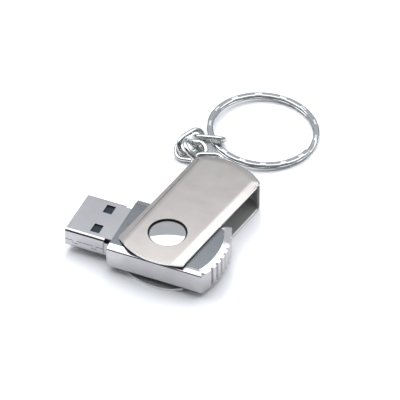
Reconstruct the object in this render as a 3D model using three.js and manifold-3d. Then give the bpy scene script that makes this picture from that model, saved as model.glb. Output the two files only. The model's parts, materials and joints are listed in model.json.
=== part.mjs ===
// A USB flash drive with a swivel cover, a short key chain and a split ring, lying flat.
// Millimetres. +Z is up, Z = 0 is the surface it lies on, and the pivot axis is the Z axis.
// The plug points along -X; the cover is swung out and points roughly along +Y.

import * as THREE from "three";
import { mergeVertices } from "three/addons/utils/BufferGeometryUtils.js";
import Module from "manifold-3d";

const wasm = await Module();
wasm.setup();

// ---- driving dimensions ----

// Heights are given from the drive's middle plane, which lies MIDDLE above the surface.
const MIDDLE = 3.85;

const BODY = {
  halfWidth: 8.24,
  front: -10.2,
  sideHeight: 2.35,
  height: 2.75,
  bevel: 1.75,
  rearBevel: 1.5,
  rearRadius: 18.4,
  rearApex: 12.95,
  cornerX: 11.0,
  ribSpan: 5.5,
  grooves: 7,
  grooveDepth: 0.42,
  grooveShare: 0.5,
  flank: 0.18,
  cavityHalfWidth: 6.1,
  ledge: 0.5,
  overhang: 1,
};

const PANEL = {
  halfWidth: 6.5,
  thickness: 0.42,
  rearRadius: 14.4,
  rearApex: 11.4,
  hole: 3.2,
  sideGap: 0.05,
  underGap: 0.03,
};

const PLUG = {
  tip: -20.6,
  back: -6.4,
  halfWidth: 6.0,
  halfHeight: 2.25,
  corner: 0.7,
  wall: 0.3,
  windowFromTip: 6.0,
  windowAcross: 3.15,
  windowLong: 2.0,
  windowWide: 2.5,
  slitX: -11.8,
  slitWidth: 0.16,
  slitDepth: 0.14,
  notchLong: 1.5,
  notchDeep: 0.8,
};

const TONGUE = {
  front: -20.1,
  back: -9.4,
  halfWidth: 5.3,
  bottom: -1.85,
  top: 0.25,
  groove: 0.2,
  lead: 0.4,
  boardGap: 0.3,
};

const CONTACT = {
  wide: 1.0,
  thick: 0.18,
  bottom: 0.15,
  tail: -7.4,
  nose: 0.5,
  across: [-3.5, -1.0, 1.0, 3.5],
  fronts: [-19.6, -18.7, -18.7, -19.6],
};

const SOLDER = 0.05;

const BOARD = { front: -9.2, back: 9.4, halfWidth: 5.0, bottom: -0.7, top: 0.1, corner: 1.2 };

// What is fitted on the board's contact face (side 1) and on its back (side -1): the middle
// in plan, and the size along X, Y and Z.
const FITTED = [
  { name: "controller_chip", at: [-2.6, 0], size: [5, 5, 0.85], side: 1, material: "chipBlack" },
  { name: "flash_chip", at: [4.7, 0], size: [7.6, 8.6, 1], side: 1, material: "chipBlack" },
  { name: "crystal", at: [-3.4, -1.4], size: [3.2, 2.5, 0.6], side: -1, material: "shellSteel" },
  { name: "resistor_1", at: [4.6, -1.8], size: [1.6, 0.8, 0.4], side: -1, material: "chipBlack" },
  { name: "resistor_2", at: [4.6, 1.8], size: [1.6, 0.8, 0.4], side: -1, material: "chipBlack" },
];
for (let i = 0; i < 4; i += 1) {
  const at = [1.2, -3.3 + 2.2 * i];
  const size = [0.8, 1.6, 0.5];
  FITTED.push({ name: `capacitor_${i + 1}`, at, size, side: -1, material: "ceramic" });
}

const CARRIER = {
  front: -6.1,
  halfWidth: 5.9,
  rearRadius: 13.7,
  rearApex: 10.6,
  floor: 0.6,
  outside: 2.25,
  shelf: 4.5,
  rim: 5.2,
  clear: 0.05,
};

const PIVOT = {
  boss: 3.0,
  bossTop: 3.4,
  cap: 3.9,
  capBottom: 2.86,
  capBore: 3.1,
  capRoof: 3.5,
  capShoulder: 3.42,
  flat: 1.2,
  domeInset: 0.25,
  domeFoot: 0.15,
  domeSteps: 4,
  washerInner: 4.05,
  washerOuter: 5.6,
  washerBottom: 2.86,
  washerTop: 3.2,
};

const COVER = {
  restAngle: 80.2,
  halfWidth: 7.9,
  bevel: 1.85,
  height: 3.85,
  edgeHeight: 3.45,
  sheet: 0.55,
  pivotApex: -8.9,
  farApex: 26.5,
  farBevel: 2.1,
  endRadius: 13.3,
  bend: 0.9,
  farCorner: 0.7,
  hole: 4.16,
  ringHole: 1.0,
  ringHoleReach: 3,
};

const JUMP_RING = { wire: 1.0, radius: 2.2, along: 26.2, gap: 0.12, steps: 24 };

const LINK = { wire: 1.15, halfLength: 3.4, halfWidth: 2.05, gap: 0.1, steps: 32 };

// Where each link lies: its middle, the heading of its long axis, how steeply that axis
// rises, and how far the link is rolled about it. Degrees, and heights from the surface.
const LINKS = [
  { at: [1.63, 28.1, 2.82], heading: -22, rise: 8.3, roll: -81 },
  { at: [-3.05, 28.7, 2.1], heading: 12.4, rise: 8.8, roll: 37.3 },
  { at: [-6.5, 29.8, 3.3], heading: 20.5, rise: -49.6, roll: -3.3 },
  { at: [-8.1, 31.2, 2.1], heading: 4, rise: 9.5, roll: 36.5 },
  { at: [-9.0, 33.5, 2.4], heading: 66, rise: 0, roll: 60.5 },
  { at: [-6.0, 36.45, 2.1], heading: 16, rise: -0.5, roll: -48 },
];

const SPLIT_RING = {
  centre: [3.34, 44.44],
  middle: 1.33,
  tilt: 2.8,
  tiltAxis: 112.8,
  radius: 11.6,
  wide: 1.35,
  thick: 0.65,
  pitch: 0.72,
  edge: 0.16,
  start: 22,
  crossover: 34,
  steps: 96,
};

const ROUND = 72;
const PIVOT_ROUND = 48;
const RING_ROUND = 24;
const WIRE_SIDES = 8;

// ---- solids ----

// A closed geometry as a manifold-3d solid.
function solidOf(geometry) {
  const bare = geometry.clone();
  bare.deleteAttribute("normal");
  bare.deleteAttribute("uv");
  const merged = mergeVertices(bare, 1e-4);
  const mesh = new wasm.Mesh({
    numProp: 3,
    vertProperties: new Float32Array(merged.attributes.position.array),
    triVerts: new Uint32Array(merged.index.array),
  });
  return new wasm.Manifold(mesh);
}

function geometryOf(solid) {
  const mesh = solid.getMesh();
  const geometry = new THREE.BufferGeometry();
  geometry.setAttribute("position", new THREE.BufferAttribute(mesh.vertProperties, 3));
  geometry.setIndex(new THREE.BufferAttribute(mesh.triVerts, 1));
  geometry.computeVertexNormals();
  return geometry;
}

const cut = (base, ...tools) => tools.reduce((left, tool) => left.subtract(tool), base);
const join = (first, ...rest) => rest.reduce((sum, piece) => sum.add(piece), first);
const common = (first, ...rest) => rest.reduce((kept, piece) => kept.intersect(piece), first);

// A closed outline in plan, drawn out from z0 to z1.
function plate(shape, z0, z1) {
  const options = { depth: z1 - z0, bevelEnabled: false, curveSegments: 10 };
  return solidOf(new THREE.ExtrudeGeometry(shape, options).translate(0, 0, z0));
}

// A section drawn in Y (across) and Z (up), drawn out along X from x0 to x1.
function bar(shape, x0, x1) {
  const options = { depth: x1 - x0, bevelEnabled: false, curveSegments: 5 };
  const geometry = new THREE.ExtrudeGeometry(shape, options);
  return solidOf(geometry.rotateX(Math.PI / 2).rotateZ(Math.PI / 2).translate(x0, 0, 0));
}

function box(x, y, z) {
  const geometry = new THREE.BoxGeometry(x[1] - x[0], y[1] - y[0], z[1] - z[0]);
  return solidOf(geometry.translate((x[0] + x[1]) / 2, (y[0] + y[1]) / 2, (z[0] + z[1]) / 2));
}

// An upright cylinder on the Z axis.
function drum(radius, z0, z1) {
  const geometry = new THREE.CylinderGeometry(radius, radius, z1 - z0, PIVOT_ROUND);
  return solidOf(geometry.rotateX(Math.PI / 2).translate(0, 0, (z0 + z1) / 2));
}

// A profile of [radius, height] points turned about the upright line at x.
function turned(profile, x = 0, sides = ROUND) {
  const points = profile.map(([radius, height]) => new THREE.Vector2(radius, height));
  return solidOf(new THREE.LatheGeometry(points, sides).rotateX(Math.PI / 2).translate(x, 0, 0));
}

// A closed outline through straight-joined points.
function outline(points) {
  return new THREE.Shape(points.map(([x, y]) => new THREE.Vector2(x, y)));
}

// The plan of a plate with straight long edges, a flat front and an arched rear.
function archedPlan(front, halfWidth, radius, apex) {
  const centre = apex - radius;
  const angle = Math.asin(halfWidth / radius);
  const shape = new THREE.Shape();
  shape.moveTo(front, -halfWidth);
  shape.lineTo(centre + radius * Math.cos(angle), -halfWidth);
  shape.absarc(centre, 0, radius, -angle, angle, false);
  shape.lineTo(front, halfWidth);
  shape.closePath();
  return shape;
}

function roundedSection(halfWidth, halfHeight, corner) {
  const shape = new THREE.Shape();
  shape.moveTo(-halfWidth + corner, -halfHeight);
  shape.lineTo(halfWidth - corner, -halfHeight);
  shape.absarc(halfWidth - corner, -halfHeight + corner, corner, -Math.PI / 2, 0, false);
  shape.absarc(halfWidth - corner, halfHeight - corner, corner, 0, Math.PI / 2, false);
  shape.absarc(-halfWidth + corner, halfHeight - corner, corner, Math.PI / 2, Math.PI, false);
  shape.absarc(-halfWidth + corner, -halfHeight + corner, corner, Math.PI, 1.5 * Math.PI, false);
  return shape;
}

// ---- the drive's body ----

// The body's plan: straight sides, a plain facet at each rear corner, and a ribbed arc between.
function bodyPlan() {
  const centre = BODY.rearApex - BODY.rearRadius;
  const onArc = (y, depth) => {
    const angle = Math.asin(y / BODY.rearRadius);
    const radius = BODY.rearRadius - depth;
    return [centre + radius * Math.cos(angle), radius * Math.sin(angle)];
  };
  const points = [
    [BODY.front, -BODY.halfWidth],
    [BODY.cornerX, -BODY.halfWidth],
  ];
  const pitch = (2 * BODY.ribSpan) / (BODY.grooves - 1 + BODY.grooveShare);
  const groove = pitch * BODY.grooveShare;
  for (let i = 0; i < BODY.grooves; i += 1) {
    const y = -BODY.ribSpan + i * pitch;
    points.push(onArc(y, 0));
    points.push(onArc(y + BODY.flank, BODY.grooveDepth));
    points.push(onArc(y + groove - BODY.flank, BODY.grooveDepth));
    points.push(onArc(y + groove, 0));
  }
  points.push([BODY.cornerX, BODY.halfWidth]);
  points.push([BODY.front, BODY.halfWidth]);
  return outline(points);
}

function bodyFrame() {
  const { halfWidth, height, sideHeight, bevel, rearBevel, overhang } = BODY;
  const flatHalf = halfWidth - bevel;
  const sides = bar(
    outline([
      [-halfWidth, -sideHeight],
      [-flatHalf, -height],
      [flatHalf, -height],
      [halfWidth, -sideHeight],
      [halfWidth, sideHeight],
      [flatHalf, height],
      [-flatHalf, height],
      [-halfWidth, sideHeight],
    ]),
    BODY.front,
    BODY.rearApex + 1,
  );
  const slope = (height - sideHeight) / rearBevel;
  const rear = turned(
    [
      [0, -height],
      [BODY.rearRadius - rearBevel, -height],
      [BODY.rearRadius + overhang, -sideHeight + slope * overhang],
      [BODY.rearRadius + overhang, sideHeight - slope * overhang],
      [BODY.rearRadius - rearBevel, height],
      [0, height],
    ],
    BODY.rearApex - BODY.rearRadius,
  );
  const loaf = common(plate(bodyPlan(), -height, height), sides, rear);
  const inside = BODY.cavityHalfWidth;
  const wallFrom = PANEL.rearApex - BODY.ledge;
  const cavity = archedPlan(BODY.front - 1, inside, PANEL.rearRadius - BODY.ledge, wallFrom);
  const seatHalf = PANEL.halfWidth + PANEL.sideGap;
  const seatApex = PANEL.rearApex + PANEL.sideGap;
  const seat = archedPlan(BODY.front - 1, seatHalf, PANEL.rearRadius, seatApex);
  const seatDepth = height - PANEL.thickness - PANEL.underGap;
  return cut(
    loaf,
    plate(cavity, -height - 1, height + 1),
    plate(seat, seatDepth, height + 1),
    plate(seat, -height - 1, -seatDepth),
  );
}

function panel(side) {
  const { halfWidth, rearRadius, rearApex, thickness, hole } = PANEL;
  const levels = [side * BODY.height, side * (BODY.height - thickness)].sort((a, b) => a - b);
  const plan = archedPlan(BODY.front, halfWidth, rearRadius, rearApex);
  return cut(plate(plan, ...levels), drum(hole, levels[0] - 1, levels[1] + 1));
}

// Half of the plastic carrier: a floor, two walls and the pivot boss. The lower half's walls
// end in a shelf under the board, and the upper half's walls come down outside the board.
function carrier(side, wallFrom, wallTo) {
  const { front, halfWidth, rearRadius, rearApex, floor, outside } = CARRIER;
  const plan = archedPlan(front, halfWidth, rearRadius, rearApex);
  const between = (a, b) => [side * a, side * b].sort((p, q) => p - q);
  const inner = between(-outside, outside - floor);
  const hollow = box([front - 1, rearApex + 1], [-wallFrom, wallFrom], inner);
  const boss = drum(PIVOT.boss, ...between(outside - floor / 2, PIVOT.bossTop));
  return join(cut(plate(plan, ...between(wallTo, outside)), hollow), boss);
}

// ---- the plug ----

function plugShell() {
  const { tip, back, halfWidth, halfHeight, corner, wall } = PLUG;
  const outer = bar(roundedSection(halfWidth, halfHeight, corner), tip, back);
  const bore = roundedSection(halfWidth - wall, halfHeight - wall, corner - wall / 2);
  const windowX = tip + PLUG.windowFromTip;
  const tools = [bar(bore, tip - 1, back + 1)];
  for (const y of [-PLUG.windowAcross, PLUG.windowAcross]) {
    const x = [windowX - PLUG.windowLong / 2, windowX + PLUG.windowLong / 2];
    const across = [y - PLUG.windowWide / 2, y + PLUG.windowWide / 2];
    tools.push(box(x, across, [-halfHeight - 1, halfHeight + 1]));
  }
  const slit = [PLUG.slitX - PLUG.slitWidth, PLUG.slitX];
  const notch = [PLUG.slitX, PLUG.slitX + PLUG.notchLong];
  for (const side of [-1, 1]) {
    const across = (from, to) => [side * from, side * to].sort((a, b) => a - b);
    const slitAcross = across(halfWidth - PLUG.slitDepth, halfWidth + 1);
    const notchAcross = across(halfWidth - PLUG.notchDeep, halfWidth + 1);
    tools.push(box(slit, slitAcross, [-halfHeight, halfHeight - corner]));
    tools.push(box(notch, notchAcross, [halfHeight - PLUG.notchDeep, halfHeight + 1]));
  }
  return cut(outer, ...tools);
}

function plugTongue() {
  const { front, back, halfWidth, bottom, top, groove, lead, boardGap } = TONGUE;
  const profile = outline([
    [front, bottom],
    [back, bottom],
    [back, top],
    [front + lead, top],
    [front, top - lead],
  ]);
  const options = { depth: 2 * halfWidth, bevelEnabled: false };
  const geometry = new THREE.ExtrudeGeometry(profile, options);
  const block = solidOf(geometry.rotateX(Math.PI / 2).translate(0, halfWidth, 0));
  const channels = CONTACT.across.map((y, i) => {
    const across = [y - CONTACT.wide / 2 - groove, y + CONTACT.wide / 2 + groove];
    return box([CONTACT.fronts[i] - groove, back + 1], across, [top - groove, top + 1]);
  });
  const behind = [BOARD.front - boardGap, back + 1];
  const boardSlot = box(behind, [-halfWidth - 1, halfWidth + 1], [bottom, top]);
  return cut(block, ...channels, boardSlot);
}

// A flat contact spring whose nose slopes up from its channel.
function contact(y, front) {
  const { wide, thick, bottom, tail, nose } = CONTACT;
  const profile = outline([
    [front, bottom],
    [tail, bottom],
    [tail, bottom + thick],
    [front + nose, bottom + thick],
  ]);
  const geometry = new THREE.ExtrudeGeometry(profile, { depth: wide, bevelEnabled: false });
  return geometry.rotateX(Math.PI / 2).translate(0, y + wide / 2, 0);
}

// ---- the board ----

function board() {
  const { front, back, halfWidth, corner, bottom, top } = BOARD;
  const plan = outline([
    [front, -halfWidth],
    [back - corner, -halfWidth],
    [back, -halfWidth + corner],
    [back, halfWidth - corner],
    [back - corner, halfWidth],
    [front, halfWidth],
  ]);
  return plate(plan, bottom, top);
}

// A chip or a small part standing just off one of the board's faces.
function onBoard([x, y], [long, wide, high], side) {
  const face = side > 0 ? BOARD.top : BOARD.bottom;
  const z = face + side * (SOLDER + high / 2);
  return new THREE.BoxGeometry(long, wide, high).translate(x, y, z);
}

// ---- the pivot ----

// The cap stands in the cover's hole: a shallow dome with a small flat crown, bored for the boss.
function pivotCap(side) {
  const { cap, capBottom, capBore, capRoof, capShoulder } = PIVOT;
  const { flat, domeInset, domeFoot, domeSteps } = PIVOT;
  const crown = COVER.height;
  const dome = [];
  for (let i = 0; i <= domeSteps; i += 1) {
    const share = i / domeSteps;
    const radius = flat + (cap - domeInset - flat) * share;
    dome.push([radius, crown - (crown - capShoulder - domeFoot) * share * share]);
  }
  const profile = [[0, crown], ...dome, [cap, capShoulder], [cap, capBottom]];
  profile.push([capBore, capBottom], [capBore, capRoof], [0, capRoof]);
  const solid = turned(profile.reverse(), 0, PIVOT_ROUND);
  return side > 0 ? solid : solid.rotate([180, 0, 0]);
}

function pivotWasher(side) {
  const { washerInner, washerOuter, washerBottom, washerTop } = PIVOT;
  const levels = [side * washerBottom, side * washerTop].sort((a, b) => a - b);
  return cut(drum(washerOuter, ...levels), drum(washerInner, levels[0] - 1, levels[1] + 1));
}

// ---- the swivel cover, drawn with its length along X and the pivot axis at the origin ----

function coverPlan() {
  const { halfWidth, endRadius, pivotApex, farApex, farCorner } = COVER;
  const angle = Math.asin(halfWidth / endRadius);
  const pivotCentre = pivotApex + endRadius;
  const farCentre = farApex - endRadius;
  const cornerX = farCentre + endRadius * Math.cos(angle);
  const arcAngle = angle - farCorner / endRadius;
  const arcX = farCentre + endRadius * Math.cos(arcAngle);
  const arcY = endRadius * Math.sin(arcAngle);
  const shape = new THREE.Shape();
  shape.moveTo(pivotCentre - endRadius * Math.cos(angle), -halfWidth);
  shape.lineTo(cornerX - farCorner, -halfWidth);
  shape.quadraticCurveTo(cornerX, -halfWidth, arcX, -arcY);
  shape.absarc(farCentre, 0, endRadius, -arcAngle, arcAngle, false);
  shape.quadraticCurveTo(cornerX, halfWidth, cornerX - farCorner, halfWidth);
  shape.lineTo(pivotCentre - endRadius * Math.cos(angle), halfWidth);
  shape.absarc(pivotCentre, 0, endRadius, Math.PI - angle, Math.PI + angle, false);
  return shape;
}

// The space inside a sheet bent round the far end: flat faces that slope down at the long
// edges and at the far end, where a tight bend runs into the end wall. `inset` is how far
// it lies inside.
function coverLoaf(inset, sideReach, backReach) {
  const { halfWidth, bevel, height, edgeHeight, endRadius, farApex, farBevel, bend } = COVER;
  const flatHalf = halfWidth - bevel;
  const slope = (height - edgeHeight) / bevel;
  const reach = halfWidth + sideReach;
  const edge = height - inset - slope * (reach - flatHalf);
  const flat = height - inset;
  const section = bar(
    outline([
      [-reach, -edge],
      [-flatHalf, -flat],
      [flatHalf, -flat],
      [reach, -edge],
      [reach, edge],
      [flatHalf, flat],
      [-flatHalf, flat],
      [-reach, edge],
    ]),
    backReach,
    farApex + 1,
  );
  const radius = endRadius - inset;
  const roll = bend - inset;
  const crease = endRadius - farBevel;
  const sloped = flat - ((height - edgeHeight) / farBevel) * (radius - roll - crease);
  const steps = 5;
  const profile = [[crease, -flat]];
  for (let i = 0; i <= steps; i += 1) {
    const angle = (i / steps) * (Math.PI / 2);
    const out = radius - roll + roll * Math.sin(angle);
    profile.push([out, -(sloped - roll) - roll * Math.cos(angle)]);
  }
  const upper = profile.map(([out, z]) => [out, -z]).reverse();
  const farCentre = farApex - endRadius;
  const drumEnd = turned([[0, -flat], ...profile, ...upper, [0, flat]], farCentre);
  const rest = box([backReach, farCentre], [-reach, reach], [-flat, flat]);
  return common(section, join(drumEnd, rest));
}

function swivelCover() {
  const { height, pivotApex, sheet, hole, ringHole, ringHoleReach } = COVER;
  const outside = common(plate(coverPlan(), -height, height), coverLoaf(0, 0, pivotApex));
  const inside = coverLoaf(sheet, 2, pivotApex - 2);
  const pivotHole = drum(hole, -height - 1, height + 1);
  const ringHoles = [-1, 1].map((side) => {
    const geometry = new THREE.CylinderGeometry(ringHole, ringHole, 2 * ringHoleReach, RING_ROUND);
    const lying = geometry.rotateZ(Math.PI / 2);
    return solidOf(lying.translate(JUMP_RING.along, side * JUMP_RING.radius, 0));
  });
  return cut(outside, inside, pivotHole, ...ringHoles);
}

// ---- the chain and the split ring ----

// An oval of wire in the XY plane that stops just short of closing, at the middle of one side.
class OvalLoop extends THREE.Curve {
  constructor(halfLength, halfWidth, gap) {
    super();
    this.radius = halfWidth;
    this.straight = halfLength - halfWidth;
    this.gap = gap;
  }

  getPoint(t) {
    const { radius, straight, gap } = this;
    const turn = Math.PI * radius;
    const s = gap / 2 + t * (4 * straight + 2 * turn - gap);
    if (s < straight) {
      return new THREE.Vector3(s, -radius, 0);
    }
    if (s < straight + turn) {
      const angle = (s - straight) / radius;
      return new THREE.Vector3(straight + radius * Math.sin(angle), -radius * Math.cos(angle), 0);
    }
    if (s < 3 * straight + turn) {
      return new THREE.Vector3(2 * straight + turn - s, radius, 0);
    }
    if (s < 3 * straight + 2 * turn) {
      const angle = (s - 3 * straight - turn) / radius;
      return new THREE.Vector3(-straight - radius * Math.sin(angle), radius * Math.cos(angle), 0);
    }
    return new THREE.Vector3(s - 4 * straight - 2 * turn, -radius, 0);
  }
}

function wireLoop(halfLength, halfWidth, wire, gap, steps) {
  const section = [];
  for (let i = 0; i < WIRE_SIDES; i += 1) {
    const angle = (2 * Math.PI * i) / WIRE_SIDES;
    section.push([(wire / 2) * Math.cos(angle), (wire / 2) * Math.sin(angle)]);
  }
  const extrudePath = new OvalLoop(halfLength, halfWidth, gap);
  return new THREE.ExtrudeGeometry(outline(section), { steps, extrudePath });
}

// Two flat turns of wire, one on the other, with a short ramp between them. The wire's section
// stays upright all the way.
class SplitRingPath extends THREE.Curve {
  getPoint(t) {
    const { radius, pitch, start, crossover } = SPLIT_RING;
    const degrees = t * (720 - crossover);
    const rise = THREE.MathUtils.smoothstep(degrees, 360 - crossover, 360);
    const angle = THREE.MathUtils.degToRad(start + degrees);
    return new THREE.Vector3(
      radius * Math.cos(angle),
      radius * Math.sin(angle),
      pitch * (rise - 0.5),
    );
  }

  computeFrenetFrames(segments) {
    const frames = { tangents: [], normals: [], binormals: [] };
    for (let i = 0; i <= segments; i += 1) {
      const point = this.getPointAt(i / segments);
      const inward = new THREE.Vector3(-point.x, -point.y, 0).normalize();
      frames.tangents.push(this.getTangentAt(i / segments));
      frames.normals.push(inward);
      frames.binormals.push(new THREE.Vector3(0, 0, 1));
    }
    return frames;
  }
}

function splitRing() {
  const { wide, thick, edge, steps } = SPLIT_RING;
  const section = outline([
    [-wide / 2 + edge, -thick / 2],
    [wide / 2 - edge, -thick / 2],
    [wide / 2, -thick / 2 + edge],
    [wide / 2, thick / 2 - edge],
    [wide / 2 - edge, thick / 2],
    [-wide / 2 + edge, thick / 2],
    [-wide / 2, thick / 2 - edge],
    [-wide / 2, -thick / 2 + edge],
  ]);
  return new THREE.ExtrudeGeometry(section, { steps, extrudePath: new SplitRingPath() });
}

// ---- the assembly ----

const MATERIALS = {
  chrome: new THREE.MeshStandardMaterial({ color: 0xdcdce0, metalness: 1.0, roughness: 0.12 }),
  satinSteel: new THREE.MeshStandardMaterial({ color: 0xc8c3be, metalness: 1.0, roughness: 0.35 }),
  shellSteel: new THREE.MeshStandardMaterial({ color: 0xbebec3, metalness: 1.0, roughness: 0.3 }),
  greyPanel: new THREE.MeshStandardMaterial({ color: 0x969ca0, metalness: 0.6, roughness: 0.45 }),
  carrierPlastic: new THREE.MeshStandardMaterial({ color: 0x3a3c40, roughness: 0.6 }),
  tonguePlastic: new THREE.MeshStandardMaterial({ color: 0x1b1d22, roughness: 0.5 }),
  nylon: new THREE.MeshStandardMaterial({ color: 0xd8d8d2, roughness: 0.5 }),
  gold: new THREE.MeshStandardMaterial({ color: 0xd8a840, metalness: 1.0, roughness: 0.25 }),
  boardGreen: new THREE.MeshStandardMaterial({ color: 0x1c6b3c, roughness: 0.5 }),
  chipBlack: new THREE.MeshStandardMaterial({ color: 0x202124, roughness: 0.55 }),
  ceramic: new THREE.MeshStandardMaterial({ color: 0xb59a78, roughness: 0.6 }),
};

const object = new THREE.Group();

function addMesh(parent, name, shape, material) {
  const geometry = shape.isBufferGeometry ? shape : geometryOf(shape);
  const mesh = new THREE.Mesh(geometry, MATERIALS[material].clone());
  mesh.name = name;
  parent.add(mesh);
  return mesh;
}

function addDrive() {
  const drive = new THREE.Group();
  drive.position.z = MIDDLE;
  object.add(drive);
  addMesh(drive, "body_frame", bodyFrame(), "chrome");
  addMesh(drive, "top_panel", panel(1), "greyPanel");
  addMesh(drive, "bottom_panel", panel(-1), "greyPanel");
  addMesh(drive, "plug_shell", plugShell(), "shellSteel");
  for (const [end, side] of [["top", 1], ["bottom", -1]]) {
    addMesh(drive, `pivot_cap_${end}`, pivotCap(side), "chrome");
    addMesh(drive, `pivot_washer_${end}`, pivotWasher(side), "nylon");
  }
}

// The carrier and all that it holds, drawn with the contacts facing up and turned over here:
// the plug lies with its contacts facing down.
function addInside() {
  const inside = new THREE.Group();
  inside.position.z = MIDDLE;
  inside.rotation.x = Math.PI;
  object.add(inside);
  const base = carrier(-1, CARRIER.shelf, -BOARD.bottom + CARRIER.clear);
  const lid = carrier(1, CARRIER.rim, BOARD.bottom);
  addMesh(inside, "carrier_base", base, "carrierPlastic");
  addMesh(inside, "carrier_lid", lid, "carrierPlastic");
  addMesh(inside, "plug_tongue", plugTongue(), "tonguePlastic");
  CONTACT.across.forEach((y, i) => {
    addMesh(inside, `contact_${i + 1}`, contact(y, CONTACT.fronts[i]), "gold");
  });
  addMesh(inside, "board", board(), "boardGreen");
  for (const { name, at, size, side, material } of FITTED) {
    addMesh(inside, name, onBoard(at, size, side), material);
  }
}

function addCover() {
  const arm = new THREE.Group();
  arm.position.z = MIDDLE;
  arm.rotation.z = THREE.MathUtils.degToRad(COVER.restAngle);
  object.add(arm);
  addMesh(arm, "swivel_cover", swivelCover(), "satinSteel");
  const { radius, wire, gap, along, steps } = JUMP_RING;
  const ring = addMesh(arm, "jump_ring", wireLoop(radius, radius, wire, gap, steps), "chrome");
  ring.position.x = along;
  ring.rotation.z = Math.PI / 4;
}

function addChain() {
  const { halfLength, halfWidth, wire, gap, steps } = LINK;
  LINKS.forEach(({ at, heading, rise, roll }, i) => {
    const geometry = wireLoop(halfLength, halfWidth, wire, gap, steps);
    const link = addMesh(object, `chain_link_${i + 1}`, geometry, "chrome");
    const [yaw, pitch, bank] = [heading, -rise, roll].map(THREE.MathUtils.degToRad);
    link.position.set(...at);
    link.rotation.set(bank, pitch, yaw, "ZYX");
  });
}

function addSplitRing() {
  const { centre, middle, tilt, tiltAxis } = SPLIT_RING;
  const ring = addMesh(object, "split_ring", splitRing(), "chrome");
  const heading = THREE.MathUtils.degToRad(tiltAxis);
  const axis = new THREE.Vector3(Math.cos(heading), Math.sin(heading), 0);
  ring.quaternion.setFromAxisAngle(axis, THREE.MathUtils.degToRad(tilt));
  ring.position.set(centre[0], centre[1], middle);
}

addDrive();
addInside();
addCover();
addChain();
addSplitRing();

export default object;
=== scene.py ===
"""A USB flash drive with a swivel cover, a short key chain and a split ring.

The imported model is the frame: every piece below stands for one of its nodes, or finishes
one. Lengths are in millimetres here and become metres when a mesh is made.
"""

import json
import math

import bmesh
import bpy
import numpy as np
from mathutils import Matrix, Vector


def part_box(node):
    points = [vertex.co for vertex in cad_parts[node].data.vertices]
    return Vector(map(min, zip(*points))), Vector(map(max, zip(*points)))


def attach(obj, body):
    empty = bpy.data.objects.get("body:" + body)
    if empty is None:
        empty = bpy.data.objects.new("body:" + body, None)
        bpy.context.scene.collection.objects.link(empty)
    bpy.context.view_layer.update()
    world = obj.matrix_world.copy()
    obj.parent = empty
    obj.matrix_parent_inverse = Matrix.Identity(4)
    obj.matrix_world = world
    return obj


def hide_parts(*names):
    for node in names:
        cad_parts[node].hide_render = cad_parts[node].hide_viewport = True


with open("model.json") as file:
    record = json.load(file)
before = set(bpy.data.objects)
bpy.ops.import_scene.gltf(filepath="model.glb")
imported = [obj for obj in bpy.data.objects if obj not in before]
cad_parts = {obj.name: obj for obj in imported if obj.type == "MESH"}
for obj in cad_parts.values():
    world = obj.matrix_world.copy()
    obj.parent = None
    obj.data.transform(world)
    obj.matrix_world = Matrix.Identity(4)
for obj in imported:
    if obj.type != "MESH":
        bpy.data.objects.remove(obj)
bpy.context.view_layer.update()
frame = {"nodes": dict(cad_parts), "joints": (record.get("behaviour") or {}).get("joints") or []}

MM = 0.001
PIVOT = next(j for j in frame["joints"] if j["name"] == "cover_swivel")["pos_m"]
MIDDLE = PIVOT[2] / MM

# ---- driving dimensions ----

# Where the body's edges are told apart: the two depths are from its rear end, side_margin is
# from its sides, and the rest are from its middle.
BODY = {
    "rib_depth": 1.6,
    "rib_half": 6,
    "corner_depth": 1.0,
    "corner_half": 7,
    "rim_level": 1,
    "side_margin": 0.1,
}

# How far each kind of edge is rounded, in millimetres.
ROUNDING = {
    "rim": 0.3,
    "corner": 0.1,
    "rib": 0.05,
    "panel": 0.06,
    "window": 0.2,
    "cover_hole": 0.2,
    "cover_edge": 0.09,
    "inner": 0.03,
}

# The cap's dome, and the round shoulder from the dome's rim down to its side.
CAP = {"dome": 3.65, "drop": 0.28, "radius": 3.9, "shoulder_from": 13, "foot": 0.4}

# The flat top, its slopes down to the long edges and the far end, and the bend at that end.
COVER = {
    "end_radius": 13.3,
    "flat_half": 6.05,
    "far_bevel": 2.1,
    "edge_drop": 0.33,
    "crease": 0.45,
    "corner_blend": 0.06,
    "sheet": 0.55,
    "bend": 0.9,
    "corner": 0.7,
    "hole": 4.16,
    "ring_hole": 1.0,
    "ring_hole_apart": 4.4,
    "ring_hole_deep": 4,
}

# The slit across the plug's faces, and which edges in front of it are the windows'.
PLUG = {"slit": -11.8, "window_margin": 0.5, "window_level": 2.2}

# The chain's round wire. The links' is a little thinner than the CAD's, which keeps neighbours
# apart at the joints' limits.
WIRE = {"sides": 20, "link": 1.08, "jump": 1.0}
LINKS = 6

# The two turns, and the wire's section on a cut facet and on the node between two cuts, measured
# from the section's middle. Angles are in degrees round the ring. The sizes of a node are parts of
# node_every, and cut_end bows the ends of a cut by the square of the distance across the wire.
RING = {
    "pitch": 0.72,
    "start": 22,
    "crossover": 34,
    "facet": {"half": 0.675, "top": 0.285, "flat": 0.4, "shoulder": (0.59, 0.17)},
    "node": {"half": 0.61, "top": 0.325, "flat": 0.2, "shoulder": (0.5, 0.22)},
    "node_every": 24.8,
    "first_node": 43,
    "uneven": 6.6,
    "widest_at": 117,
    "node_share": 0.34,
    "node_soft": 0.03,
    "cut_end": 0.3,
    "cut_middle": 0.1,
    # Faces of the wire below this height take a darker material: painted shade on its sides,
    # between and under the turns.
    "side": 0.12,
    # Within this distance of the wire's middle line, node faces take a near-white material: a
    # painted highlight.
    "painted_highlight_half": 0.38,
}

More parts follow.
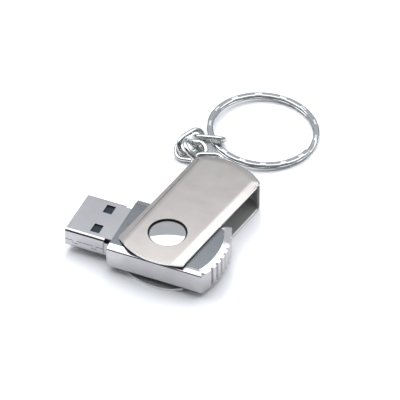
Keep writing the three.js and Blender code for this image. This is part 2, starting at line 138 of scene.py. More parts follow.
# The seam in the plug's near side: its level, and where its two tabs dip below it.
SEAM = {
    "level": -0.25,
    "tabs": (-18.4, -14.1),
    "neck": 0.45,
    "foot": 0.6,
    "dip": 0.7,
    "wide": 0.15,
    "deep": 0.12,
    "lead": 0.5,
}

# How far a cutting tool stands out of what it cuts, and how far the seam's thin tool does.
CLEAR = 1
SEAM_CLEAR = 0.1

# Points of a copied CAD mesh that are closer than this are merged before its edges are rounded.
SHORTEST = 0.03

# Faces within this many degrees of each other are merged into one, in the finished pieces and in
# the CAD nodes that stay in view.
COPLANAR = 0.3
INNER_COPLANAR = 1

# Edges that turn by more than this many degrees keep a crease in their shading.
SHARP = 34

# How strongly large faces set the shading of the corners that they share with small ones.
FACE_WEIGHT = 90


# ---- meshes ----

def placed(name, data):
    """A new object in the scene."""
    obj = bpy.data.objects.new(name, data)
    bpy.context.scene.collection.objects.link(obj)
    return obj


def mesh_from(name, points, faces):
    """A mesh from points in millimetres."""
    mesh = bpy.data.meshes.new(name)
    mesh.from_pydata([Vector(p) * MM for p in points], [], faces)
    mesh.update()
    return mesh


def grid_faces(rows, columns, wrap_rows=False, wrap_columns=False):
    """Quads over a grid of rows * columns points, listed row by row."""
    faces = []
    for i in range(rows if wrap_rows else rows - 1):
        for j in range(columns if wrap_columns else columns - 1):
            here, right = i * columns + j, i * columns + (j + 1) % columns
            above = ((i + 1) % rows) * columns
            faces.append((here, right, above + (j + 1) % columns, above + j))
    return faces


def lathe(name, profile):
    """A profile of (radius, height) points that starts and ends on the axis, turned about Z."""
    sides = 96
    inner = profile[1:-1]
    points = []
    for radius, height in inner:
        for k in range(sides):
            angle = 2 * math.pi * k / sides
            points.append((radius * math.cos(angle), radius * math.sin(angle), height))
    faces = grid_faces(len(inner), sides, wrap_columns=True)
    for pole, ring in ((profile[0], 0), (profile[-1], len(inner) - 1)):
        points.append((0, 0, pole[1]))
        first = ring * sides
        faces += [(len(points) - 1, first + (k + 1) % sides, first + k) for k in range(sides)]
    return outward(mesh_from(name, points, faces))


def outward(mesh):
    """Turns every face of a closed mesh to point out."""
    work = bmesh.new()
    work.from_mesh(mesh)
    bmesh.ops.recalc_face_normals(work, faces=work.faces)
    work.to_mesh(mesh)
    work.free()
    return mesh


def joined_mesh(obj):
    """The object's mesh with its modifiers applied."""
    graph = bpy.context.evaluated_depsgraph_get()
    return bpy.data.meshes.new_from_object(obj.evaluated_get(graph))


def cut_out(mesh, tools):
    """A mesh with each tool mesh cut out of it."""
    body = placed("blank", mesh)
    spent = [body]
    for tool in tools:
        cutter = placed("cutter", tool)
        spent.append(cutter)
        boolean = body.modifiers.new("cut", "BOOLEAN")
        boolean.operation = "DIFFERENCE"
        boolean.solver = "EXACT"
        boolean.object = cutter
    result = joined_mesh(body)
    for obj in spent:
        bpy.data.objects.remove(obj)
    return result


def softened(mesh, width, segments=3, sharper_than=30, where=None):
    """Merges coplanar faces, then rounds the edges sharper than an angle to a width in mm.

    `where` picks the edges to round by their middle point, in mm.
    """
    work = bmesh.new()
    work.from_mesh(mesh)
    bmesh.ops.remove_doubles(work, verts=work.verts, dist=SHORTEST * MM)
    bmesh.ops.dissolve_limit(
        work,
        angle_limit=math.radians(COPLANAR),
        verts=work.verts,
        edges=work.edges,
        delimit={"MATERIAL"},
    )
    limit = math.radians(sharper_than)
    edges = [e for e in work.edges if e.is_manifold and e.calc_face_angle(0) > limit]
    if where:
        edges = [e for e in edges if where((e.verts[0].co + e.verts[1].co) / 2 / MM)]
    bmesh.ops.bevel(
        work,
        geom=edges,
        offset=width * MM,
        offset_type="OFFSET",
        segments=segments,
        profile=0.5,
        affect="EDGES",
        clamp_overlap=True,
    )
    work.to_mesh(mesh)
    work.free()
    return mesh


def add_piece(name, mesh, look, body, slot, *nodes):
    """Puts a finished mesh in the scene in place of CAD nodes.

    A list of looks goes with the mesh's own material numbers.
    """
    looks = look if isinstance(look, list) else [look]
    piece = placed(name, mesh)
    slots = [min(face.material_index, len(looks) - 1) for face in mesh.polygons]
    mesh.materials.clear()
    for each in looks:
        mesh.materials.append(each)
    for face, index in zip(mesh.polygons, slots):
        face.material_index = index
        face.use_smooth = True
    mesh.set_sharp_from_angle(angle=math.radians(SHARP))
    weighted = piece.modifiers.new("even shading", "WEIGHTED_NORMAL")
    weighted.keep_sharp = True
    weighted.weight = FACE_WEIGHT
    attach(piece, body)
    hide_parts(*nodes)
    return piece


def node_points(node):
    """A CAD node's vertices in millimetres."""
    return np.array([v.co[:] for v in frame["nodes"][node].data.vertices]) / MM


def copy_of(node):
    """A fresh mesh of a CAD node's shape."""
    return frame["nodes"][node].data.copy()


def centre_of(node):
    """The middle of a CAD node's box in millimetres."""
    low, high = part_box(node)
    return (np.array(low) + np.array(high)) / 2 / MM


def principal_frame(node):
    """A flat loop's middle and its long, wide and thin axes, from the CAD node."""
    points = node_points(node)
    _, _, axes = np.linalg.svd(points - points.mean(axis=0), full_matrices=False)
    if np.linalg.det(axes) < 0:
        axes[2] = -axes[2]
    local = points @ axes.T
    middle = (local.min(axis=0) + local.max(axis=0)) / 2
    half = (local.max(axis=0) - local.min(axis=0)) / 2
    return middle @ axes, axes, half


# ---- materials ----

# The part of a noise's range that most of its values fall in.
NOISE_RANGE = (0.35, 0.65)


class Look:
    """A node material built up one layer at a time."""

    def __init__(self, name, colour, metallic, roughness):
        self.material = bpy.data.materials.new(name)
        self.material.use_nodes = True
        self.tree = self.material.node_tree
        self.shader = self.tree.nodes["Principled BSDF"]
        self.shader.inputs["Base Color"].default_value = (*colour, 1)
        self.shader.inputs["Metallic"].default_value = metallic
        self.shader.inputs["Roughness"].default_value = roughness
        self.colour = colour
        self.roughness = roughness
        self.coordinates = self.add("ShaderNodeTexCoord").outputs["Object"]

    def add(self, kind):
        return self.tree.nodes.new(kind)

    def link(self, source, target):
        self.tree.links.new(source, target)

    def noise(self, scale, stretch=(1, 1, 1), detail=3, turn=0.0):
        """Noise with about `scale` cells to the millimetre, stretched along the object's axes.

        `turn` turns the noise itself and not the way it is stretched.
        """
        mapping = self.add("ShaderNodeMapping")
        mapping.inputs["Rotation"].default_value = (0, 0, turn)
        mapping.inputs["Scale"].default_value = [s / MM for s in stretch]
        self.link(self.coordinates, mapping.inputs["Vector"])
        noise = self.add("ShaderNodeTexNoise")
        noise.inputs["Scale"].default_value = scale
        noise.inputs["Detail"].default_value = detail
        self.link(mapping.outputs["Vector"], noise.inputs["Vector"])
        return noise.outputs["Fac"]

    def ramp(self, source, low, high, dark, light):
        """Maps source from low..high to the colours dark..light."""
        ramp = self.add("ShaderNodeValToRGB")
        ramp.color_ramp.elements[0].position = low
        ramp.color_ramp.elements[1].position = high
        ramp.color_ramp.elements[0].color = (*dark, 1)
        ramp.color_ramp.elements[1].color = (*light, 1)
        self.link(source, ramp.inputs["Fac"])
        return ramp.outputs["Color"]

    def vary_colour(self, source, amount):
        """Makes the colour darker and lighter by a share of itself."""
        low, high = NOISE_RANGE
        dark = [c * (1 - amount) for c in self.colour]
        light = [min(1, c * (1 + amount)) for c in self.colour]
        self.link(self.ramp(source, low, high, dark, light), self.shader.inputs["Base Color"])

    def vary_roughness(self, source, amount):
        """Makes the roughness lower and higher by an amount."""
        low, high = NOISE_RANGE
        remap = self.add("ShaderNodeMapRange")
        remap.inputs["From Min"].default_value = low
        remap.inputs["From Max"].default_value = high
        remap.inputs["To Min"].default_value = self.roughness - amount
        remap.inputs["To Max"].default_value = self.roughness + amount
        self.link(source, remap.inputs["Value"])
        self.link(remap.outputs["Result"], self.shader.inputs["Roughness"])

    def bump(self, source, height):
        """Adds a bump of a height in millimetres on top of any earlier one."""
        bump = self.add("ShaderNodeBump")
        bump.inputs["Strength"].default_value = 1.0
        bump.inputs["Distance"].default_value = height * MM
        self.link(source, bump.inputs["Height"])
        normal = self.shader.inputs["Normal"]
        if normal.links:
            self.link(normal.links[0].from_socket, bump.inputs["Normal"])
        self.link(bump.outputs["Normal"], normal)


def chrome(name, colour, roughness, waviness=0.004):
    """Plated metal, slightly wavy, with faint wiping marks."""
    look = Look(name, colour, metallic=1.0, roughness=roughness)
    look.vary_colour(look.noise(scale=0.35), amount=0.03)
    look.vary_roughness(look.noise(scale=0.9, detail=5), amount=roughness * 0.35)
    look.bump(look.noise(scale=0.5, detail=1), height=waviness)
    look.bump(look.noise(scale=9, stretch=(1, 0.06, 1), turn=0.5), height=0.0008)
    return look.material


def satin_steel(name, colour, roughness, turn=0.0, grain=0.002, metallic=1.0):
    """Brushed metal, with its grain along X."""
    along = (0.04, 1, 1)
    look = Look(name, colour, metallic, roughness)
    look.vary_colour(look.noise(scale=0.25), amount=0.03)
    brushed = look.noise(scale=14, stretch=along, turn=turn)
    look.vary_roughness(brushed, amount=roughness * 0.08)
    look.bump(look.noise(scale=16, stretch=along, turn=turn), height=grain)
    look.bump(look.noise(scale=0.3, detail=1), height=0.01)
    return look.material


def plastic(name, colour, roughness, shine=0.5):
    """Moulded plastic with a fine grain."""
    look = Look(name, colour, metallic=0.0, roughness=roughness)
    look.shader.inputs["Specular IOR Level"].default_value = shine
    look.vary_colour(look.noise(scale=0.5), amount=0.1)
    look.vary_roughness(look.noise(scale=6), amount=0.08)
    look.bump(look.noise(scale=12), height=0.004)
    return look.material


# Turns the noise of the cover's steel, so that it isn't the same as the other steels'.
COVER_TURN = -1.4

LOOKS = {
    "body_chrome": chrome("body chrome", (0.50, 0.488, 0.503), 0.10),
    "cap_chrome": chrome("cap chrome", (0.45, 0.453, 0.458), 0.04, waviness=0.001),
    "chain_chrome": chrome("chain chrome", (0.50, 0.51, 0.51), 0.08),
    "ring_chrome": chrome("ring chrome", (0.42, 0.43, 0.435), 0.09),
    # Near white: a painted highlight on the ring's nodes.
    "node_painted_highlight": chrome("node painted highlight", (0.92, 0.93, 0.94), 0.06),
    # Darker: painted shade on the sides of the ring's wire, between and under its turns.
    "ring_side_painted_shade": chrome("ring side painted shade", (0.26, 0.265, 0.27), 0.12),
    "cover_steel": satin_steel(
        "cover steel", (0.475, 0.445, 0.428), 0.24, turn=COVER_TURN, grain=0.00012
    ),
    "cover_inside": satin_steel(
        "cover inside", (0.42, 0.42, 0.41), 0.45, turn=COVER_TURN, metallic=0.5
    ),
    # Much lighter than the cover's steel: painted light on the cut edges, which lie in shade.
    "cover_edge": satin_steel("cover edge painted light", (0.80, 0.79, 0.78), 0.3, metallic=0.8),
    "shell_steel": satin_steel("shell steel", (0.49, 0.48, 0.50), 0.17, grain=0.0006),
    "grey_panel": satin_steel("grey panel", (0.182, 0.196, 0.206), 0.26, grain=0.0006),
    "carrier_plastic": plastic("carrier plastic", (0.035, 0.037, 0.042), 0.5),
    "tongue_plastic": plastic("tongue plastic", (0.012, 0.022, 0.032), 0.45, shine=0.2),
    "washer_nylon": plastic("washer nylon", (0.02, 0.02, 0.02), 0.5),
    "contact_gold": satin_steel("contact gold", (0.80, 0.55, 0.22), 0.2),
    "board_laminate": plastic("board laminate", (0.02, 0.13, 0.05), 0.4),
    "chip_epoxy": plastic("chip epoxy", (0.02, 0.02, 0.022), 0.5),
    "capacitor_ceramic": plastic("capacitor ceramic", (0.42, 0.30, 0.18), 0.45),
}

# The CAD nodes that stay in view, by name without its number.
INNER_LOOKS = {
    "carrier_base": "carrier_plastic",
    "carrier_lid": "carrier_plastic",
    "plug_tongue": "tongue_plastic",
    "contact": "contact_gold",
    "board": "board_laminate",
    "controller_chip": "chip_epoxy",
    "flash_chip": "chip_epoxy",
    "crystal": "shell_steel",
    "capacitor": "capacitor_ceramic",
    "resistor": "chip_epoxy",
    "pivot_washer_top": "washer_nylon",
    "pivot_washer_bottom": "washer_nylon",
}


def finish_cad_nodes():
    """Gives each CAD node that stays in view its material and slightly rounded edges."""
    for node, obj in frame["nodes"].items():
        if obj.hide_render:
            continue
        obj.data.materials.clear()
        obj.data.materials.append(LOOKS[INNER_LOOKS[node.rstrip("_0123456789")]])
        merge = obj.modifiers.new("merge", "DECIMATE")
        merge.decimate_type = "DISSOLVE"
        merge.angle_limit = math.radians(INNER_COPLANAR)
        edge = obj.modifiers.new("edge", "BEVEL")
        edge.width = ROUNDING["inner"] * MM
        edge.segments = 2
        edge.limit_method = "ANGLE"


# ---- the drive ----

def add_body():
    """The chrome body, each kind of edge rounded in its own pass, and its two panels."""
    _, high = (np.array(c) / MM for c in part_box("body_frame"))
    side, rib_start = high[1] - BODY["side_margin"], high[0] - BODY["rib_depth"]
    corner_end = high[0] - BODY["corner_depth"]

    def rim(p):
        return p.x < rib_start and abs(p.y) > side and abs(p.z - MIDDLE) > BODY["rim_level"]

    def corner(p):
        return p.x < corner_end and abs(p.y) > BODY["corner_half"] and not rim(p)

    def rib(p):
        return p.x > rib_start and abs(p.y) < BODY["rib_half"]

    mesh = copy_of("body_frame")
    mesh = softened(mesh, ROUNDING["rim"], segments=6, sharper_than=40, where=rim)
    mesh = softened(mesh, ROUNDING["corner"], segments=3, sharper_than=40, where=corner)
    mesh = softened(mesh, ROUNDING["rib"], segments=2, sharper_than=30, where=rib)
    add_piece("body_shell", mesh, LOOKS["body_chrome"], "drive", "body_chrome", "body_frame")
    for end in ("top", "bottom"):
        node = f"{end}_panel"
        mesh = softened(copy_of(node), ROUNDING["panel"])
        add_piece(f"{end}_plate", mesh, LOOKS["grey_panel"], "drive", "grey_panel", node)


def seam_tool(side_face):
    """A thin wall along the plug's seam, which leaves a groove in the side face."""
    low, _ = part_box("plug_shell")
    level, dip, wide = SEAM["level"], SEAM["dip"], SEAM["wide"] / 2
    path = [(low[0] / MM - SEAM["lead"], level)]
    for middle in SEAM["tabs"]:
        path += [
            (middle - SEAM["neck"], level),
            (middle - SEAM["foot"], level - dip),
            (middle + SEAM["foot"], level - dip),
            (middle + SEAM["neck"], level),
        ]
    path.append((PLUG["slit"], level))
    corners = ((1, -SEAM_CLEAR), (1, SEAM["deep"]), (-1, SEAM["deep"]), (-1, -SEAM_CLEAR))
    points = []
    for i, (x, z) in enumerate(path):
        before, after = path[max(i - 1, 0)], path[min(i + 1, len(path) - 1)]
        along = Vector((after[0] - before[0], after[1] - before[1])).normalized()
        offset = (-along.y * wide, along.x * wide)
        for sign, depth in corners:
            points.append((x + sign * offset[0], side_face + depth, MIDDLE + z + sign * offset[1]))
    faces = grid_faces(len(path), len(corners), wrap_columns=True)
    last = len(corners) * (len(path) - 1)
    faces += [(0, 1, 2, 3), (last, last + 1, last + 2, last + 3)]
    return outward(mesh_from("seam", points, faces))


def add_plug():
    """The plug's shell with its seam, and the edges of its windows rolled in."""

    def window_edge(p):
        ahead = p.x < PLUG["slit"] - PLUG["window_margin"]
        return ahead and abs(p.z - MIDDLE) > PLUG["window_level"]

    low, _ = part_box("plug_shell")
    mesh = cut_out(copy_of("plug_shell"), [seam_tool(low[1] / MM)])
    mesh = softened(mesh, ROUNDING["window"], segments=4, sharper_than=50, where=window_edge)
    add_piece("plug_sleeve", mesh, LOOKS["shell_steel"], "drive", "shell_steel", "plug_shell")


def add_caps():
    """The two domed pivot caps."""
    dome_steps, shoulder_steps = 16, 5
    dome, radius, start = CAP["dome"], CAP["radius"], CAP["shoulder_from"]
    reach = radius - dome
    for end, side in (("top", 1), ("bottom", -1)):
        low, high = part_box(f"pivot_cap_{end}")
        base, crown = sorted((abs(low[2] / MM - MIDDLE), abs(high[2] / MM - MIDDLE)))
        rim = crown - CAP["drop"]
        profile = [(0, crown)]
        for i in range(1, dome_steps + 1):
            share = i / dome_steps
            profile.append((dome * share, crown - CAP["drop"] * share * share))
        for i in range(1, shoulder_steps + 1):
            turn = math.radians(start + (90 - start) * i / shoulder_steps)
            profile.append((dome + reach * math.sin(turn), rim - reach * (1 - math.cos(turn))))
        profile += [(radius, base), (radius - CAP["foot"], base), (0, base)]
        mesh = lathe(f"{end} cap", [(r, MIDDLE + side * z) for r, z in profile])
        look = LOOKS["cap_chrome"]
        add_piece(f"{end}_cap", mesh, look, "drive", "cap_chrome", f"pivot_cap_{end}")


# ---- the cover ----

def cover_columns(half_width, far_apex):
    """Where each line of the sheet lies across the cover, and where its far end is."""
    radius, corner = COVER["end_radius"], COVER["corner"]
    centre = far_apex - radius
    angle = math.asin(half_width / radius)
    corner_x = centre + radius * math.cos(angle)
    arc_angle = angle - corner / radius
    arc = (centre + radius * math.cos(arc_angle), radius * math.sin(arc_angle))
    flat, soft = COVER["flat_half"], COVER["crease"]
    stops = (0, flat - soft, flat + soft, arc[1])
    flat_parts, crease_parts, slope_parts, bends = 16, 8, 4, 6
    columns = []
    for from_y, to_y, parts in zip(stops, stops[1:], (flat_parts, crease_parts, slope_parts)):
        for i in range(parts):
            y = from_y + (to_y - from_y) * i / parts
            columns.append((y, centre + math.sqrt(radius**2 - y * y)))
    for i in range(bends + 1):
        t = i / bends
        x = (1 - t) ** 2 * arc[0] + 2 * t * (1 - t) * corner_x + t * t * (corner_x - corner)
        y = (1 - t) ** 2 * arc[1] + 2 * t * (1 - t) * half_width + t * t * half_width
        columns.append((y, x))
    return [(-y, x) for y, x in reversed(columns[1:])] + columns


def eased(past):
    """How far a point is past a crease line, turned smoothly from nothing into a straight rise."""
    soft = COVER["crease"]
    if past < -soft:
        return 0.0
    if past > soft:
        return past
    return (past + soft) ** 2 / (4 * soft)


def cover_drop(y, from_far, half_width):
    """How far the sheet slopes down towards its long edges and its far end."""
    side = eased(abs(y) - COVER["flat_half"]) / (half_width - COVER["flat_half"])
    far = eased(COVER["far_bevel"] - from_far) / COVER["far_bevel"]
    blend = COVER["corner_blend"]
    return COVER["edge_drop"] * (side + far + math.hypot(side - far, blend) - blend) / 2


def cover_mesh(low, high):
    """The bent sheet in its own frame: length along X, pivot at the origin."""
    half_width, height = (high[1] - low[1]) / 2, (high[2] - low[2]) / 2
    pivot_centre = low[0] + COVER["end_radius"]
    roll, soft, bevel = COVER["bend"], COVER["crease"], COVER["far_bevel"]
    columns = cover_columns(half_width, high[0])
    rows = []

    def add_row(from_far):
        row = []
        for y, far in columns:
            start = pivot_centre - math.sqrt(COVER["end_radius"] ** 2 - y * y)
            gap = from_far(far - start)
            row.append((far - gap, y, height - cover_drop(y, gap, half_width)))
        rows.append(row)

    plain, creased, sloped = 24, 8, 6
    for i in range(plain):
        add_row(lambda length: bevel + soft + (length - bevel - soft) * (1 - i / plain))
    for i in range(creased):
        add_row(lambda length: bevel + soft - 2 * soft * i / creased)
    for i in range(sloped + 1):
        add_row(lambda length: bevel - soft - (bevel - soft - roll) * i / sloped)
    edge, steps = rows[-1], 8
    for i in range(1, steps + 1):
        turn = math.radians(90 * i / steps)
        out, down = roll * math.sin(turn), roll * (1 - math.cos(turn))
        rows.append([(x + out, y, z - down) for x, y, z in edge])
    mirrored = [[(x, y, -z) for x, y, z in row] for row in reversed(rows)]
    points = [p for row in rows + mirrored for p in row]
    return mesh_from("cover", points, grid_faces(len(rows) * 2, len(columns)))


def drum(radius, z0, z1, sides=128):
    """A closed cylinder about Z."""
    points = []
    for z in (z0, z1):
        for k in range(sides):
            angle = 2 * math.pi * k / sides
            points.append((radius * math.cos(angle), radius * math.sin(angle), z))
    faces = grid_faces(2, sides, wrap_columns=True)
    faces += [tuple(reversed(range(sides))), tuple(range(sides, 2 * sides))]
    return outward(mesh_from("drum", points, faces))


def thickened(mesh, thickness):
    """A sheet mesh given a thickness towards its inside.

    Its inner face takes the mesh's second material and its edges take the third.
    """
    sheet = placed("sheet", mesh)
    solid = sheet.modifiers.new("thickness", "SOLIDIFY")
    solid.thickness = thickness * MM
    solid.offset = -1
    solid.use_even_offset = True
    solid.material_offset = 1
    solid.material_offset_rim = 2
    result = joined_mesh(sheet)
    bpy.data.objects.remove(sheet)
    return outward(result)


def add_cover():
    """The bent cover with its pivot holes and the two holes for the jump ring."""

    def hole_edge(p):
        margin = 0.1
        return math.hypot(p.x, p.y) < COVER["hole"] + margin

    pivot = np.array([0, 0, MIDDLE])
    ring = centre_of("jump_ring")
    heading = math.atan2(ring[1] - pivot[1], ring[0] - pivot[0])
    turn = Matrix.Rotation(heading, 4, "Z")
    local = (node_points("swivel_cover") - pivot) @ np.array(turn.to_3x3())
    low, high = local.min(axis=0), local.max(axis=0)
    sheet = outward(cover_mesh(low, high))
    # The third look, on the cut edges, is much lighter: painted light.
    looks = [LOOKS["cover_steel"], LOOKS["cover_inside"], LOOKS["cover_edge"]]
    for look in looks:
        sheet.materials.append(look)
    solid = thickened(sheet, COVER["sheet"])
    tools = [drum(COVER["hole"], low[2] - CLEAR, high[2] + CLEAR)]
    for side in (-0.5, 0.5):
        start, end = high[0] - COVER["ring_hole_deep"], high[0] + CLEAR
        hole = drum(COVER["ring_hole"], start, end, sides=48)
        hole.transform(Matrix.Rotation(math.pi / 2, 4, "Y"))
        hole.transform(Matrix.Translation((0, side * COVER["ring_hole_apart"] * MM, 0)))
        tools.append(hole)
    solid = cut_out(solid, tools)
    solid = softened(
        solid, ROUNDING["cover_hole"], segments=4, sharper_than=50, where=hole_edge
    )
    solid = softened(
        solid, ROUNDING["cover_edge"], sharper_than=50, where=lambda p: not hole_edge(p)
    )
    solid.transform(Matrix.Translation(Vector(pivot) * MM) @ turn)
    add_piece("cover_sheet", solid, looks, "cover", "cover_steel", "swivel_cover")


# ---- the chain and the rings ----

def oval(half_length, half_width):
    """Evenly spaced points and directions round an oval with straight sides."""
    steps = 96
    straight = half_length - half_width
    turn = math.pi * half_width
    total = 4 * straight + 2 * turn
    points, tangents = [], []
    for i in range(steps):
        s = total * i / steps
        sign, s = (1, s) if s < total / 2 else (-1, s - total / 2)
        if s < straight:
            point, heading = (s, -half_width), (1, 0)
        elif s < straight + turn:
            a = (s - straight) / half_width
            point = (straight + half_width * math.sin(a), -half_width * math.cos(a))
            heading = (math.cos(a), math.sin(a))
        else:
            point, heading = (2 * straight + turn - s, half_width), (-1, 0)
        points.append((sign * point[0], sign * point[1], 0))
        tangents.append((sign * heading[0], sign * heading[1], 0))
    return np.array(points), np.array(tangents)


def wire_loop(node, wire):
    """A closed loop of round wire lying where a CAD loop lies."""
    middle, axes, half = principal_frame(node)
    centres, tangents = oval(half[0] - wire / 2, half[1] - wire / 2)
    up = np.array([0.0, 0.0, 1.0])
    circle = []
    for k in range(WIRE["sides"]):
        angle = 2 * math.pi * k / WIRE["sides"]
        circle.append((wire / 2 * math.cos(angle), wire / 2 * math.sin(angle)))
    points = []
    for centre, tangent in zip(centres, tangents):
        side = np.cross(up, tangent)
        points += [centre + side * a + up * b for a, b in circle]
    points = [middle + np.array(p) @ axes for p in points]
    faces = grid_faces(len(centres), len(circle), wrap_rows=True, wrap_columns=True)
    return outward(mesh_from(node, points, faces))


def add_chain():
    """The jump ring and the six links."""
    mesh = wire_loop("jump_ring", WIRE["jump"])
    add_piece("jump_loop", mesh, LOOKS["chain_chrome"], "jump_ring", "chain_chrome", "jump_ring")
    for i in range(1, LINKS + 1):
        node = f"chain_link_{i}"
        mesh = wire_loop(node, WIRE["link"])
        add_piece(f"link_wire_{i}", mesh, LOOKS["chain_chrome"], f"link_{i}", "chain_chrome", node)


def ring_section(node):
    """The wire's section: flat-topped on a cut, narrower and round-topped on a node (0 to 1)."""

    def blend(key):
        return RING["facet"][key] * (1 - node) + RING["node"][key] * node

    half, top, flat = blend("half"), blend("top"), blend("flat")
    cut, round_ = (RING[kind]["shoulder"] for kind in ("facet", "node"))
    shoulder = [cut[i] * (1 - node) + round_[i] * node for i in range(2)]
    steps, fullness, near_flat = 4, 0.62, 0.94
    section = []
    for k in range(steps + 1):
        t = k / steps
        x = (1 - t) ** 2 * half + 2 * t * (1 - t) * half + t * t * shoulder[0]
        z = 2 * t * (1 - t) * shoulder[1] * fullness + t * t * shoulder[1]
        section.append((x, z))
    for share in (0.5, near_flat):
        x = shoulder[0] + (flat - shoulder[0]) * share
        section.append((x, shoulder[1] + (top - shoulder[1]) * share))
    section.append((flat * near_flat, top))
    section += [(-x, z) for x, z in reversed(section)]
    return section + [(x, -z) for x, z in reversed(section[1:-1])]


def node_share(degrees, across=0):
    """How much of a node there is round the ring: 0 on a cut, 1 on a node.

    `across` is the distance from the wire's middle line: the cuts have curved ends.
    """
    sway = RING["uneven"] * math.sin(math.radians(degrees - RING["widest_at"]))
    phase = ((degrees - sway - RING["first_node"]) / RING["node_every"] + 0.5) % 1 - 0.5
    bow = RING["cut_end"] * (across * across - RING["cut_middle"])
    past = RING["node_share"] / 2 + bow + RING["node_soft"] - abs(phase)
    return min(1, max(0, past / (2 * RING["node_soft"])))


def ring_frame():
    """The split ring's centre, two axes in its plane, its normal and its mean radius."""
    low, high = (np.array(c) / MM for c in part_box("split_ring"))
    points = node_points("split_ring")
    _, _, axes = np.linalg.svd(points - points.mean(axis=0), full_matrices=False)
    normal = axes[2] if axes[2][2] > 0 else -axes[2]
    east = np.array([1.0, 0, 0]) - normal * normal[0]
    east /= np.linalg.norm(east)
    north = np.cross(normal, east)
    centre = (low + high) / 2
    reach = points - centre
    radius = np.linalg.norm(reach - np.outer(reach @ normal, normal), axis=1)
    return centre, east, north, normal, (radius.min() + radius.max()) / 2


def ring_level(degrees):
    """The wire's height along the ring's normal, so far round from its start."""
    ramp = (degrees - (360 - RING["crossover"])) / RING["crossover"]
    ramp = min(1, max(0, ramp))
    return RING["pitch"] * (ramp * ramp * (3 - 2 * ramp) - 0.5)


def add_ring():
    """Two turns of flat wire. Its nodes carry a painted highlight in a near-white material, and
    its sides a painted shade in a darker one.
    """
    centre, east, north, normal, mean_radius = ring_frame()
    span = 720 - RING["crossover"]
    steps = 720
    verts = []
    for i in range(steps + 1):
        degrees = span * i / steps
        level = ring_level(degrees)
        angle = math.radians(RING["start"] + degrees)
        out = east * math.cos(angle) + north * math.sin(angle)
        section = ring_section(node_share(RING["start"] + degrees - 360))
        for a, b in section:
            verts.append(centre + out * (mean_radius + a) + normal * (level + b))
    count = len(section)
    faces = grid_faces(steps + 1, count, wrap_columns=True)
    faces.append(tuple(range(count)))
    faces.append(tuple(range(steps * count, (steps + 1) * count)))
    mesh = outward(mesh_from("ring", verts, faces))
    looks = [LOOKS["ring_chrome"], LOOKS["node_painted_highlight"], LOOKS["ring_side_painted_shade"]]
    for look in looks:
        mesh.materials.append(look)
    # The middle of each node takes the near-white material: a painted highlight.
    for row in range(steps):
        degrees = RING["start"] + span * (row + 0.5) / steps - 360
        for j, face in enumerate(mesh.polygons[row * count:(row + 1) * count]):
            a, b = (np.array(section[j]) + section[(j + 1) % count]) / 2
            # Faces low on the wire's sides take the darker material: painted shade between and
            # under the turns.
            if b < RING["side"]:
                face.material_index = 2
            elif abs(a) < RING["painted_highlight_half"] and node_share(degrees, a) > 0.5:
                face.material_index = 1
    add_piece("ring_wire", mesh, looks, "key_ring", "ring_chrome", "split_ring")


# ---- the stage, the light and the camera ----

# Fitted to the photograph. Angles in degrees, the target and the distance in millimetres.
CAMERA = {
    "azimuth": 22.783,
    "elevation": 42.194,
    "roll": 0.358,
    "target": (0.647, 15.631, 3.85),
    "distance": 631.93,
    "lens": 270.1,
}


def add_stage():
    """A sheet of white paper under the drive. Its half size is in metres."""
    floor = placed("floor", bpy.data.meshes.new("floor"))
    size = 0.6
    corners = [(-size, -size, 0), (size, -size, 0), (size, size, 0), (-size, size, 0)]
    floor.data.from_pydata(corners, [], [(0, 1, 2, 3)])
    paper = Look("paper", (0.88, 0.89, 0.91), metallic=0.0, roughness=0.7)
    floor.data.materials.append(paper.material)


# The light is laid out along the camera's line of sight: an angle of 0 is the horizon behind
# the drive, 90 is straight overhead, and 180 is the horizon behind the camera. ROOM gives the
# room's brightness by that angle, and LOW dims it by the angle above the horizon. Lengths here
# are in metres.
SOFTBOX = {"height": 0.12, "from": 52, "to": 108, "half_width": 0.17, "radiance": 2.0}
ROOM = [(0, 0.94), (46, 0.94), (106, 1.05), (112, 0.1), (142, 0.08), (156, 0.6), (180, 0.8)]
LOW = [(0, 0.2), (18, 0.55), (30, 1.0)]
TINT = (0.985, 1, 1.02)

# A small lamp above and behind the drive, that gives the shadows their direction.
LAMP = {"angle": 46, "distance": 0.35, "size": 0.05, "energy": 0.34}


def camera_heading():
    """The level direction from the drive towards the camera."""
    azimuth = math.radians(CAMERA["azimuth"])
    return Vector((math.sin(azimuth), -math.cos(azimuth), 0))


def add_softbox():
    """A wide, level light over the drive, reflected by what slopes towards the camera."""
    height, half_width = SOFTBOX["height"], SOFTBOX["half_width"]
    far, near = (-height / math.tan(math.radians(SOFTBOX[k])) for k in ("from", "to"))
    data = bpy.data.lights.new("softbox", "AREA")
    data.shape = "RECTANGLE"
    data.size, data.size_y = 2 * half_width, near - far
    data.energy = SOFTBOX["radiance"] * math.pi * data.size * data.size_y
    light = placed("softbox", data)
    target = Vector(CAMERA["target"]) * MM
    light.location = target + camera_heading() * (near + far) / 2 + Vector((0, 0, height))
    light.rotation_euler = (0, 0, math.radians(CAMERA["azimuth"]))


def add_lamp():
    """The small lamp, which no surface reflects."""
    data = bpy.data.lights.new("lamp", "AREA")
    data.size = LAMP["size"]
    data.energy = LAMP["energy"]
    light = placed("lamp", data)
    angle = math.radians(LAMP["angle"])
    towards = Vector((0, 0, math.sin(angle))) - camera_heading() * math.cos(angle)
    light.location = Vector(CAMERA["target"]) * MM + towards * LAMP["distance"]
    light.rotation_euler = towards.to_track_quat("Z", "Y").to_euler()
    light.visible_glossy = False


def set_stops(ramp, levels):
    """Gives a colour ramp its stops from (position, brightness) pairs."""
    stops = ramp.color_ramp.elements
    while len(stops) < len(levels):
        stops.new(0.5)
    for stop, (position, level) in zip(stops, levels):
        stop.position = position
        stop.color = (*(level * share for share in TINT), 1)


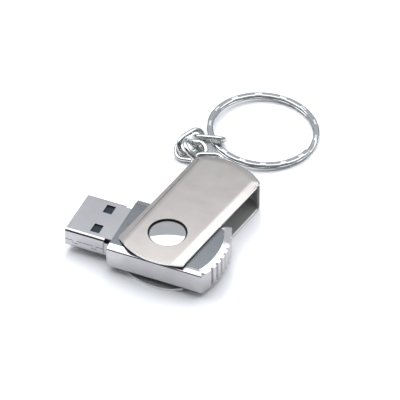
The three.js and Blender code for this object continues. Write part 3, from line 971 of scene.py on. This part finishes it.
def add_room():
    """The room's own soft light, brightest overhead and dim in front of the softbox."""
    world = bpy.data.worlds.new("room")
    bpy.context.scene.world = world
    world.use_nodes = True
    tree = world.node_tree
    coordinates = tree.nodes.new("ShaderNodeTexCoord")
    along = tree.nodes.new("ShaderNodeVectorMath")
    along.operation = "DOT_PRODUCT"
    along.inputs[1].default_value = camera_heading()
    share = tree.nodes.new("ShaderNodeMapRange")
    share.inputs["From Min"].default_value = -1
    ramp = tree.nodes.new("ShaderNodeValToRGB")
    tree.links.new(coordinates.outputs["Generated"], along.inputs[0])
    tree.links.new(along.outputs["Value"], share.inputs["Value"])
    tree.links.new(share.outputs["Result"], ramp.inputs["Fac"])
    split = tree.nodes.new("ShaderNodeSeparateXYZ")
    low = tree.nodes.new("ShaderNodeValToRGB")
    dim = tree.nodes.new("ShaderNodeMix")
    dim.data_type = "RGBA"
    dim.blend_type = "MULTIPLY"
    dim.inputs["Factor"].default_value = 1
    tree.links.new(coordinates.outputs["Generated"], split.inputs["Vector"])
    tree.links.new(split.outputs["Z"], low.inputs["Fac"])
    tree.links.new(ramp.outputs["Color"], dim.inputs["A"])
    tree.links.new(low.outputs["Color"], dim.inputs["B"])
    tree.links.new(dim.outputs["Result"], tree.nodes["Background"].inputs["Color"])
    set_stops(ramp, [((1 - math.cos(math.radians(a))) / 2, level) for a, level in ROOM])
    set_stops(low, [(math.sin(math.radians(a)), level) for a, level in LOW])


def add_camera():
    """The camera that stands where the photograph was taken from."""
    azimuth, elevation, roll = (math.radians(CAMERA[k]) for k in ("azimuth", "elevation", "roll"))
    back = Vector((
        math.sin(azimuth) * math.cos(elevation),
        -math.cos(azimuth) * math.cos(elevation),
        math.sin(elevation),
    ))
    right = Vector((math.cos(azimuth), math.sin(azimuth), 0))
    up = back.cross(right)
    rolled = Matrix((
        math.cos(roll) * right + math.sin(roll) * up,
        math.cos(roll) * up - math.sin(roll) * right,
        back,
    )).transposed()
    data = bpy.data.cameras.new("camera")
    data.lens = CAMERA["lens"]
    data.sensor_width = 36
    data.clip_start = 0.01
    camera = placed("camera", data)
    place = (Vector(CAMERA["target"]) + back * CAMERA["distance"]) * MM
    camera.matrix_world = Matrix.Translation(place) @ rolled.to_4x4()
    bpy.context.scene.camera = camera


add_body()
add_plug()
add_caps()
add_cover()
add_chain()
add_ring()
finish_cad_nodes()
add_stage()
add_softbox()
add_lamp()
add_room()
add_camera()

bpy.context.scene.view_settings.view_transform = "Standard"
